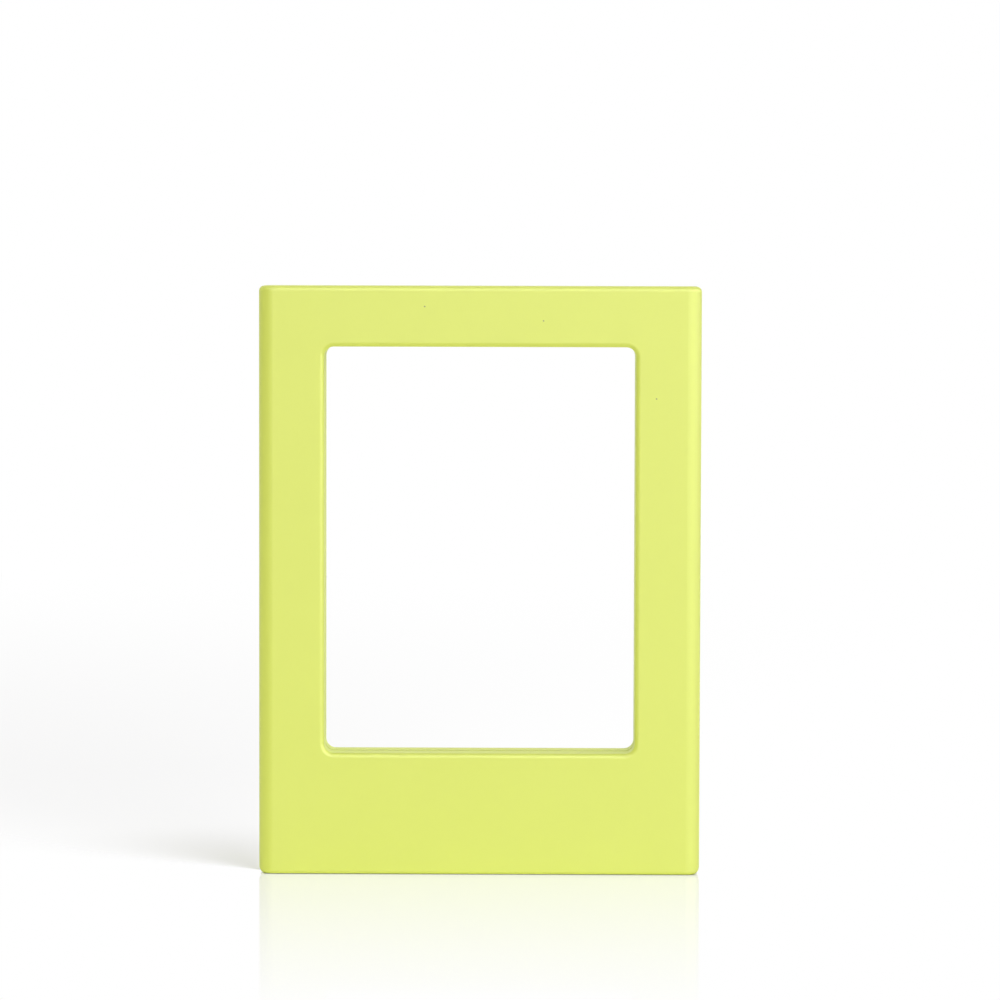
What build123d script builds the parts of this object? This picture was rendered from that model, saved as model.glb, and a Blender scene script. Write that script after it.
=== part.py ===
from build123d import *
import os

# Magnetic photo frame for an instant-film print, in millimetres.
# It stands on z = 0 with its front towards -Y, and its two halves meet on the plane y = 0.
# Both halves are one and the same moulding: the back half is the front half turned about Z.

# The print that the frame holds: a picture with white borders
picture_width = 46.0
picture_height = 62.0
print_side_border = 4.0
print_top_border = 7.3
print_bottom_border = 16.7
print_thickness = 0.5

# Room around the print between the two halves
print_side_clearance = 0.3
print_end_clearance = 0.5
print_slack = 0.1

# Disc magnets in both side rails, one row at each level
magnet_levels = ["lower", "middle", "upper"]
magnet_diameter = 4.0
magnet_thickness = 2.0
magnet_edge = 0.2
magnet_clearance = 0.05
magnet_inset = 11.0

# Moulded shell
half_depth = 4.5
wall = 1.8
face_wall = 1.5
side_rounding = 2.2
top_rounding = 0.8
bottom_rounding = 0.5
bottom_corner = 1.2
rim_break = 0.2
land_rim = 0.4
ledge = 0.6
cup_wall = 0.6
rib = 1.0
seat_corner = 1.0

# Window, a little larger than the picture
window_side_reveal = 0.9
window_end_reveal = 0.3
window_corner = 1.5
window_rounding = 0.7
window_flange = 1.2

# Finger grips, hollowed into both sides where the halves meet
grip_length = 16.0
grip_depth = 0.7
grip_reach = 1.4

# Liner, the inner panel that closes the hollow shell and carries the print
liner_thickness = 1.4
liner_clearance = 0.1
liner_edge = 0.15
parting_gap = 0.05

# Heat stakes that hold the liner down
stake_radius = 0.8
stake_clearance = 0.1
stake_boss_wall = 0.9
stake_head_overlap = 0.6
stake_head_height = 0.4
stake_head_rounding = 0.25
stake_head_clearance = 0.2
stake_land = 0.5
stake_pitch = 18.0
stake_columns = 3

# Locating pins on one side rail and their sockets on the other
pin_radius = 1.0
pin_length = 1.2
pin_tip = 0.3
pin_clearance = 0.1

# Sizes of the whole that follow
print_width = picture_width + 2 * print_side_border
print_height = picture_height + print_top_border + print_bottom_border
side_land = magnet_diameter + 2 * (magnet_clearance + land_rim)
channel_width = print_width + 2 * print_side_clearance
frame_width = channel_width + 2 * (side_land + wall)
frame_height = print_height + 2 * (print_end_clearance + wall)
frame_middle = frame_height / 2
window_width = picture_width + 2 * window_side_reveal
window_height = picture_height + 2 * window_end_reveal
picture_top = frame_height - wall - print_end_clearance - print_top_border
window_top = picture_top + window_end_reveal
window_bottom = window_top - window_height
window_middle = (window_top + window_bottom) / 2

# Depths below the parting plane
bed_depth = (print_thickness + print_slack) / 2
liner_seat = parting_gap + liner_thickness
hollow_floor = half_depth - face_wall
hollow_depth = hollow_floor - liner_seat
magnet_seat = parting_gap + magnet_thickness
stake_shoulder = liner_seat - stake_land
stake_top = stake_shoulder - stake_head_height

# Places of what repeats
land_middle = channel_width / 2 + side_land / 2
magnet_pitch = (frame_height - 2 * magnet_inset) / (len(magnet_levels) - 1)
lower_stakes = (wall + window_bottom - window_flange) / 2
upper_stakes = (frame_height - wall + window_top + window_flange) / 2
pin_places = [frame_middle - magnet_pitch / 2, frame_middle + magnet_pitch / 2]
stake_places = [lower_stakes, upper_stakes]
cup_radius = magnet_diameter / 2 + magnet_clearance + cup_wall
boss_radius = stake_radius + stake_boss_wall
stake_head_radius = stake_radius + stake_head_overlap
grip_radius = (grip_length**2 / 4 + grip_depth**2) / (2 * grip_depth)


# Sketch helpers, drawn on a plane that lies parallel to the front face
def rail_ring(outer_inset, outer_corner, window_outset):
    with Locations((0, frame_middle)):
        RectangleRounded(frame_width - 2 * outer_inset, frame_height - 2 * outer_inset, outer_corner)
    with Locations((0, window_middle)):
        RectangleRounded(
            window_width + 2 * window_outset,
            window_height + 2 * window_outset,
            window_corner + window_outset,
            mode=Mode.SUBTRACT,
        )


def print_channel():
    with Locations((0, frame_middle)):
        Rectangle(channel_width, frame_height - 2 * wall)


def magnet_circles(radius):
    with Locations((0, frame_middle)):
        with GridLocations(2 * land_middle, magnet_pitch, 2, len(magnet_levels)):
            Circle(radius)


def stake_circles(radius):
    for height in stake_places:
        with Locations((0, height)):
            with GridLocations(stake_pitch, 0, stake_columns, 1):
                Circle(radius)


def save(piece, name):
    piece.label = name
    export_step(piece, f"parts/{name}.step")


os.makedirs("parts", exist_ok=True)

# Front shell: the moulded casing that faces the viewer
with BuildPart() as front_shell:
    with BuildSketch() as section:
        Rectangle(frame_width, half_depth, align=(Align.CENTER, Align.MAX))
        fillet(section.vertices().group_by(Axis.Y)[0], side_rounding)
    extrude(amount=frame_height)
    for end, rounding in ((0, bottom_rounding), (-1, top_rounding)):
        rim_edges = front_shell.faces().sort_by(Axis.Y)[-1].edges()
        end_edges = front_shell.faces().sort_by(Axis.Z)[end].edges()
        fillet([edge for edge in end_edges if edge not in rim_edges], rounding)
    with BuildSketch(Plane.XZ) as outline:
        Rectangle(frame_width, frame_height, align=(Align.CENTER, Align.MIN))
        fillet(outline.vertices().group_by(Axis.Y)[0], bottom_corner)
    extrude(amount=half_depth, mode=Mode.INTERSECT)
    chamfer(front_shell.faces().sort_by(Axis.Y)[-1].edges(), rim_break)

    # window with its rounded front edge
    with BuildSketch(Plane.XZ):
        with Locations((0, window_middle)):
            RectangleRounded(window_width, window_height, window_corner)
    extrude(amount=half_depth, mode=Mode.SUBTRACT)
    fillet(front_shell.faces().sort_by(Axis.Y)[0].inner_wires().edges(), window_rounding)

    # finger grips on both sides
    with BuildSketch(Plane.XZ):
        with Locations((0, frame_middle)):
            with GridLocations(frame_width - 2 * grip_depth + 2 * grip_radius, 0, 2, 1):
                Circle(grip_radius)
    extrude(amount=grip_reach, mode=Mode.SUBTRACT)

    # seat of the liner, the print's bed on the flange, and the hollow under the liner
    with BuildSketch(Plane.XZ):
        rail_ring(wall, seat_corner, window_flange)
    extrude(amount=liner_seat, mode=Mode.SUBTRACT)
    with BuildSketch(Plane.XZ):
        print_channel()
    extrude(amount=bed_depth, mode=Mode.SUBTRACT)
    with BuildSketch(Plane.XZ.offset(liner_seat)):
        rail_ring(wall + ledge, seat_corner, window_flange + ledge)
    extrude(amount=hollow_depth, mode=Mode.SUBTRACT)

    # magnet cups, and ribs and bosses that carry the liner
    with BuildSketch(Plane.XZ.offset(liner_seat)):
        magnet_circles(cup_radius)
        stake_circles(boss_radius)
        with Locations((0, lower_stakes)):
            with GridLocations(stake_pitch, 0, stake_columns, 1):
                Rectangle(rib, window_bottom - window_flange - wall)
    extrude(amount=hollow_depth)
    with BuildSketch(Plane.XZ.offset(liner_seat)):
        magnet_circles(magnet_diameter / 2 + magnet_clearance)
    extrude(amount=magnet_seat - liner_seat, mode=Mode.SUBTRACT)

    # heat stakes with their formed heads
    with BuildSketch(Plane.XZ.offset(stake_shoulder)):
        stake_circles(stake_radius)
    extrude(amount=stake_land)
    with BuildSketch(Plane.XZ.offset(stake_top)):
        stake_circles(stake_head_radius)
    extrude(amount=stake_head_height)
    fillet(front_shell.edges(Select.LAST).group_by(Axis.Y)[-1], stake_head_rounding)

# Front liner: rests on the shell's ledges and bosses, flush with the rim
with BuildPart() as front_liner:
    with BuildSketch(Plane.XZ.offset(parting_gap)):
        rail_ring(wall + liner_clearance, seat_corner - liner_clearance, window_flange + liner_clearance)
    extrude(amount=liner_thickness)
    chamfer(front_liner.faces().sort_by(Axis.Y)[-1].outer_wire().edges(), liner_edge)
    with BuildSketch(Plane.XZ):
        print_channel()
    extrude(amount=bed_depth, mode=Mode.SUBTRACT)
    with BuildSketch(Plane.XZ):
        magnet_circles(magnet_diameter / 2 + magnet_clearance)
        with Locations(*[(land_middle, height) for height in pin_places]):
            Circle(pin_radius + pin_clearance)
    extrude(amount=liner_seat, mode=Mode.SUBTRACT)
    for height in stake_places:
        with Locations(Plane((0, -bed_depth, height), x_dir=(1, 0, 0), z_dir=(0, 1, 0))):
            with GridLocations(stake_pitch, 0, stake_columns, 1):
                CounterBoreHole(
                    stake_radius + stake_clearance,
                    stake_head_radius + stake_head_clearance,
                    stake_shoulder - bed_depth,
                )
    with BuildSketch(Plane.XZ.offset(parting_gap)):
        with Locations(*[(-land_middle, height) for height in pin_places]):
            Circle(pin_radius)
    extrude(amount=-pin_length)
    chamfer(front_liner.faces().group_by(Axis.Y)[-1].edges(), pin_tip)

# Back half: the same mouldings, turned half a turn about Z
with BuildPart() as back_shell:
    add(front_shell.part, rotation=(0, 0, 180))
with BuildPart() as back_liner:
    add(front_liner.part, rotation=(0, 0, 180))

save(front_shell.part, "front_shell")
save(front_liner.part, "front_liner")
save(back_shell.part, "back_shell")
save(back_liner.part, "back_liner")

# Magnets: bonded in the cups, just below the parting plane, one pair at each place
halves = {"front": parting_gap, "back": -parting_gap - magnet_thickness}
sides = {"left": -land_middle, "right": land_middle}
for half, near_face in halves.items():
    for side, across in sides.items():
        for row, level in enumerate(magnet_levels):
            with BuildPart() as magnet:
                with BuildSketch(Plane.XZ.offset(near_face)):
                    with Locations((across, magnet_inset + row * magnet_pitch)):
                        Circle(magnet_diameter / 2)
                extrude(amount=magnet_thickness)
                fillet(magnet.edges().filter_by(GeomType.CIRCLE), magnet_edge)
            save(magnet.part, f"{half}_magnet_{side}_{level}")
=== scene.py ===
import math

import bpy
from mathutils import Matrix, Vector

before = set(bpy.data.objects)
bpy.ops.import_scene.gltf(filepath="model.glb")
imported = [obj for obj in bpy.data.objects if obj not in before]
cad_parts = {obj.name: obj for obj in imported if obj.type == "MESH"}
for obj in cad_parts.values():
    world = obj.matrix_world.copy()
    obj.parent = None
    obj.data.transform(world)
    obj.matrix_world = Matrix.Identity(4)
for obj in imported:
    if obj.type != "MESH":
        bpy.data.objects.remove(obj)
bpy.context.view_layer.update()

scene = bpy.context.scene
scene.view_settings.view_transform = "Standard"
mm = 0.001
pureWhite = (1, 1, 1, 1)
mixA, mixB, mixOut = 6, 7, 2        # colour sockets of a Mix node
print("frame loaded:", len(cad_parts), "nodes")


# node helpers, for materials and the world alike

def startNodes(owner):
    owner.use_nodes = True
    owner.node_tree.nodes.clear()
    return owner


def addNode(owner, kind, settings=None, **inputs):
    node = owner.node_tree.nodes.new(kind)
    for key, value in (settings or {}).items():
        setattr(node, key, value)
    for key, value in inputs.items():
        node.inputs[key.replace("_", " ")].default_value = value
    return node


def join(owner, fromNode, outName, toNode, inName):
    owner.node_tree.links.new(fromNode.outputs[outName], toNode.inputs[inName])


def ramp(owner, node, output, span=(0, 1), ends=(0, 1), smooth=False):
    kind = "SMOOTHSTEP" if smooth else "LINEAR"
    step = addNode(owner, "ShaderNodeMapRange", {"interpolation_type": kind})
    for key, value in zip(("From Min", "From Max", "To Min", "To Max"), (*span, *ends)):
        step.inputs[key].default_value = value
    join(owner, node, output, step, "Value")
    return step


def mathNode(owner, operation, *terms):        # a term is a number, or a node with its output
    node = addNode(owner, "ShaderNodeMath", {"operation": operation})
    for socket, term in enumerate(terms):
        if isinstance(term, tuple):
            join(owner, *term, node, socket)
        else:
            node.inputs[socket].default_value = term
    return node


def mixShaders(owner, share, one, two):
    mix = addNode(owner, "ShaderNodeMixShader")
    for socket, node in enumerate((share, one, two)):
        join(owner, node, 0, mix, socket)
    return mix


def noise(owner, place, size, **inputs):
    node = addNode(owner, "ShaderNodeTexNoise", Scale=1 / size, **inputs)
    join(owner, place, "Object", node, "Vector")
    return node


def emboss(owner, height, depth, shader):
    bump = addNode(owner, "ShaderNodeBump", Strength=1.0, Distance=depth)
    join(owner, height, "Fac", bump, "Height")
    join(owner, bump, "Normal", shader, "Normal")


# lime plastic of the shells: satin moulded ABS
limeShell = {
    "colour": (0.692, 0.770, 0.105, 1),      # as moulded
    "cloud": (0.706, 0.784, 0.113, 1),       # faint flow marks
    "speck": (0.30, 0.33, 0.10, 1),          # dust moulded into the skin
    "ior": 1.5,
    "roughness": (0.40, 0.52),
    "cloudSize": 14 * mm,
    "cloudDetail": 2.0,
    "grainSize": 0.12 * mm,
    "grainDepth": 0.004 * mm,
    "grainDetail": 3.0,
    "grainBite": 0.6,                        # how much of the finest grain shows
    "speckSpacing": 9 * mm,
    "speckRadius": 0.12 * mm,
    "speckShare": 0.11,
}

# the liners are the same plastic from a coarser mould
limeLiner = {**limeShell, "roughness": (0.5, 0.62), "grainSize": 0.2 * mm, "grainDepth": 0.012 * mm}


def limePlastic(name, spec):
    m = startNodes(bpy.data.materials.new(name))
    out = addNode(m, "ShaderNodeOutputMaterial")
    skin = addNode(m, "ShaderNodeBsdfPrincipled", IOR=spec["ior"])
    join(m, skin, "BSDF", out, "Surface")
    place = addNode(m, "ShaderNodeTexCoord")

    # flow marks: two close limes in soft clouds
    cloud = noise(m, place, spec["cloudSize"], Detail=spec["cloudDetail"])
    cloudMix = addNode(m, "ShaderNodeMix", {"data_type": "RGBA"})
    cloudMix.inputs[mixA].default_value = spec["colour"]
    cloudMix.inputs[mixB].default_value = spec["cloud"]
    join(m, cloud, "Fac", cloudMix, "Factor")

    # a few specks on the faces, one to a cell at most
    upright = addNode(m, "ShaderNodeMapping", Rotation=(-math.pi / 2, 0, 0))
    join(m, place, "Object", upright, "Vector")
    cell = addNode(m, "ShaderNodeTexVoronoi", {"voronoi_dimensions": "2D"}, Scale=1 / spec["speckSpacing"])
    join(m, upright, "Vector", cell, "Vector")
    pick = addNode(m, "ShaderNodeSeparateColor")
    join(m, cell, "Color", pick, "Color")
    near = mathNode(m, "LESS_THAN", (cell, "Distance"), spec["speckRadius"] / spec["speckSpacing"])
    chosen = mathNode(m, "LESS_THAN", (pick, "Red"), spec["speckShare"])
    speck = mathNode(m, "MULTIPLY", (near, 0), (chosen, 0))
    speckMix = addNode(m, "ShaderNodeMix", {"data_type": "RGBA"})
    speckMix.inputs[mixB].default_value = spec["speck"]
    join(m, cloudMix, mixOut, speckMix, mixA)
    join(m, speck, "Value", speckMix, "Factor")
    join(m, speckMix, mixOut, skin, "Base Color")

    # fine grain of the mould
    grain = noise(m, place, spec["grainSize"], Detail=spec["grainDetail"], Roughness=spec["grainBite"])
    join(m, ramp(m, grain, "Fac", ends=spec["roughness"]), "Result", skin, "Roughness")
    emboss(m, grain, spec["grainDepth"], skin)
    return m


# nickel plate of the magnets
nickel = {
    "colour": (0.63, 0.61, 0.57, 1),
    "roughness": (0.16, 0.34),
    "stainSize": 1.6 * mm,
    "stainDetail": 4.0,
    "grainSize": 0.06 * mm,
    "grainDepth": 0.001 * mm,
    "grainDetail": 2.0,
}


def nickelPlate(name, spec):
    m = startNodes(bpy.data.materials.new(name))
    out = addNode(m, "ShaderNodeOutputMaterial")
    plate = addNode(m, "ShaderNodeBsdfPrincipled", Metallic=1.0, Base_Color=spec["colour"])
    join(m, plate, "BSDF", out, "Surface")
    place = addNode(m, "ShaderNodeTexCoord")
    stain = noise(m, place, spec["stainSize"], Detail=spec["stainDetail"])
    join(m, ramp(m, stain, "Fac", ends=spec["roughness"]), "Result", plate, "Roughness")
    grain = noise(m, place, spec["grainSize"], Detail=spec["grainDetail"])
    emboss(m, grain, spec["grainDepth"], plate)
    return m


skins = {
    "shell": limePlastic("limeShell", limeShell),
    "liner": limePlastic("limeLiner", limeLiner),
    "magnet": nickelPlate("magnetNickel", nickel),
}
for name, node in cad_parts.items():
    piece = name.split("_")[1]               # front_shell, back_magnet_left_lower
    node.material_slots[0].material = skins[piece]
print("materials assigned")


# floor: glossy white table top, lifted to white for the eye outside a painted shadow of the frame and its
# foot
floorTop = {
    "size": 6.0,
    "drop": 0.02 * mm,
    "colour": (0.88, 0.873, 0.870, 1),
    "shadeFoot": (-34 * mm, 0, 0),           # the painted shadow starts at the left foot
    "shadeTurn": (22, 66),                   # degrees from -X towards +Y in which it deepens
    "shadeBack": (112, 72),                  # and fades again
    "shadeNear": (8 * mm, 58 * mm, 0.7),     # dark start: from, to, share
    "shadeFar": (0, 600 * mm, 0.3),          # pale rest
    "contact": (33.2 * mm, 4.1 * mm),        # half sizes of the foot, never lifted
    "contactFade": 0.6 * mm,
    "gloss": 0.34,
    "glossReach": 130 * mm,                  # the reflection fades away from the frame
    "glossRough": 0.07,
}


def floorMaterial(spec):
    m = startNodes(bpy.data.materials.new("whiteTable"))
    out = addNode(m, "ShaderNodeOutputMaterial")
    matt = addNode(m, "ShaderNodeBsdfDiffuse", Color=spec["colour"])
    glow = addNode(m, "ShaderNodeEmission", Color=pureWhite, Strength=1.0)
    sheen = addNode(m, "ShaderNodeBsdfGlossy", Color=pureWhite, Roughness=spec["glossRough"])
    place = addNode(m, "ShaderNodeTexCoord")
    axes = addNode(m, "ShaderNodeSeparateXYZ")
    join(m, place, "Object", axes, "Vector")

    # painted shadow: a wedge behind the left foot where the white lift is taken away, so the plain table
    # shows; its shape and depth are painted, while the table's shading inside it is rendered
    foot = addNode(m, "ShaderNodeVectorMath", {"operation": "SUBTRACT"})
    foot.inputs[1].default_value = spec["shadeFoot"]
    join(m, place, "Object", foot, 0)
    far = addNode(m, "ShaderNodeVectorMath", {"operation": "LENGTH"})
    join(m, foot, "Vector", far, 0)
    side = addNode(m, "ShaderNodeSeparateXYZ")
    join(m, foot, "Vector", side, "Vector")
    left = mathNode(m, "MULTIPLY", (side, "X"), -1)
    turn = mathNode(m, "ARCTAN2", (side, "Y"), (left, 0))
    limits = []
    for key in ("shadeTurn", "shadeBack"):
        span = [math.radians(angle) for angle in spec[key]]
        limits.append((ramp(m, turn, "Value", span, smooth=True), 0))
    fades = []
    for key in ("shadeNear", "shadeFar"):
        start, end, share = spec[key]
        fades.append((ramp(m, far, "Value", (start, end), (share, 0), smooth=True), 0))
    wedge = mathNode(m, "MULTIPLY", *limits)
    depth = mathNode(m, "ADD", *fades)
    shade = mathNode(m, "MULTIPLY", (wedge, 0), (depth, 0))
    unshaded = mathNode(m, "SUBTRACT", 1, (shade, 0))

    # foot of the frame: the dark line of contact stays
    edges = []
    for axis, half in zip("XY", spec["contact"]):
        away = mathNode(m, "ABSOLUTE", (axes, axis))
        edges.append((ramp(m, away, "Value", (half, half + spec["contactFade"])), 0))
    clear = mathNode(m, "MAXIMUM", *edges)
    lifted = mathNode(m, "MULTIPLY", (unshaded, 0), (clear, 0))

    # the eye, gloss and glass see the lift, soft rays the plain table
    ray = addNode(m, "ShaderNodeLightPath")
    mirrored = mathNode(m, "MAXIMUM", (ray, "Is Glossy Ray"), (ray, "Is Transmission Ray"))
    seen = mathNode(m, "MAXIMUM", (ray, "Is Camera Ray"), (mirrored, 0))
    base = mixShaders(m, mathNode(m, "MULTIPLY", (seen, 0), (lifted, 0)), matt, glow)

    # polish, strongest at the frame
    ahead = mathNode(m, "ABSOLUTE", (axes, "Y"))
    polish = ramp(m, ahead, "Value", (0, spec["glossReach"]), (spec["gloss"], 0))
    shine = mathNode(m, "MULTIPLY", (polish, 0), (ray, "Is Camera Ray"))
    join(m, mixShaders(m, shine, base, sheen), "Shader", out, "Surface")
    return m


bpy.ops.object.select_all(action="DESELECT")
bpy.ops.mesh.primitive_plane_add(size=floorTop["size"], location=(0, 0, -floorTop["drop"]))
floor = bpy.context.active_object
floor.name = "tableTop"
floor.data.materials.append(floorMaterial(floorTop))
print("floor laid")


# studio: soft lamps in a white room, and glow cards that only show as gloss
studio = {
    "aim": (0, 0, 0.045),
    "lamps": {
        "keyBox": {"at": (0.70, -2.10, 0.95), "size": (1.20, 1.20), "power": 11.2},
        "topBox": {"at": (0.20, -0.40, 2.00), "size": (1.80, 1.80), "power": 10.5},
        "tableBox": {                        # lies on the table and shines up, as light off its white
            "at": (0.00, -0.1042, 0.0001),
            "aim": (0.00, -0.1042, 1.0),
            "size": (0.30, 0.20),
            "power": 0.05,
        },
    },
    "cards": {
        "frontCard": {"at": (0.22, -1.20, 0.15), "size": (1.40, 1.00), "power": 14.5},
        "rightCard": {"at": (0.62, -0.33, 0.25), "size": (1.40, 0.90), "power": 23},
        "topCard": {"at": (0.00, -0.70, 0.90), "size": (1.20, 0.60), "power": 12},
    },
    "room": {"growth": (-0.5, 0.6), "walls": (0.415, 0.80)},        # front to back
}


def addLamp(name, spec, aim):
    aim = spec.get("aim", aim)
    lamp = bpy.data.lights.new(name, "AREA")
    lamp.shape = "RECTANGLE"
    lamp.size, lamp.size_y = spec["size"]
    lamp.energy = spec["power"]
    holder = bpy.data.objects.new(name, lamp)
    holder.location = spec["at"]
    holder.rotation_euler = (Vector(aim) - Vector(spec["at"])).to_track_quat("-Z", "Y").to_euler()
    holder.visible_camera = False
    scene.collection.objects.link(holder)
    return holder


def whiteRoom(spec):
    world = startNodes(bpy.data.worlds.new("whiteRoom"))
    scene.world = world
    out = addNode(world, "ShaderNodeOutputWorld")
    soft = addNode(world, "ShaderNodeBackground", Color=pureWhite)
    plain = addNode(world, "ShaderNodeBackground", Color=pureWhite, Strength=1.0)

    # light grows from the dim front of the room to its white back wall
    aim = addNode(world, "ShaderNodeTexCoord")
    axes = addNode(world, "ShaderNodeSeparateXYZ")
    join(world, aim, "Generated", axes, "Vector")
    grow = ramp(world, axes, "Y", spec["growth"], smooth=True)
    join(world, ramp(world, grow, "Result", ends=spec["walls"]), "Result", soft, "Strength")

    # the eye sees plain white, and so do gloss and glass towards the back wall
    ray = addNode(world, "ShaderNodeLightPath")
    mirrored = mathNode(world, "MAXIMUM", (ray, "Is Glossy Ray"), (ray, "Is Transmission Ray"))
    behind = mathNode(world, "MULTIPLY", (mirrored, 0), (grow, 0))
    seen = mathNode(world, "MAXIMUM", (ray, "Is Camera Ray"), (behind, 0))
    join(world, mixShaders(world, seen, soft, plain), "Shader", out, "Surface")


for lampName, lampSpec in studio["lamps"].items():
    addLamp(lampName, lampSpec, studio["aim"])
for cardName, cardSpec in studio["cards"].items():
    card = addLamp(cardName, cardSpec, studio["aim"])
    card.visible_diffuse = False
whiteRoom(studio["room"])
print("studio lit")


# camera: nearly straight on, a little above
shot = {
    "azimuth": 0.366,
    "elevation": 3.431,
    "roll": 0.153,
    "distance": 700 * mm,
    "aim": (3.073 * mm, 0, 57.585 * mm),
    "lens": 163.2,
    "sensor": 36.0,
    "clip": (0.05, 20),
}


def placeCamera(spec):
    camera = bpy.data.cameras.new("shot")
    camera.lens = spec["lens"]
    camera.sensor_width = spec["sensor"]
    camera.clip_start, camera.clip_end = spec["clip"]
    holder = bpy.data.objects.new("shot", camera)
    scene.collection.objects.link(holder)
    around = math.radians(spec["azimuth"])
    up = math.radians(spec["elevation"])
    back = Vector((math.sin(around) * math.cos(up), -math.cos(around) * math.cos(up), math.sin(up)))
    holder.location = Vector(spec["aim"]) + back * spec["distance"]
    turn = (-back).to_track_quat("-Z", "Y").to_matrix() @ Matrix.Rotation(math.radians(spec["roll"]), 3, "Z")
    holder.rotation_euler = turn.to_euler()
    scene.camera = holder


placeCamera(shot)
print("camera placed")
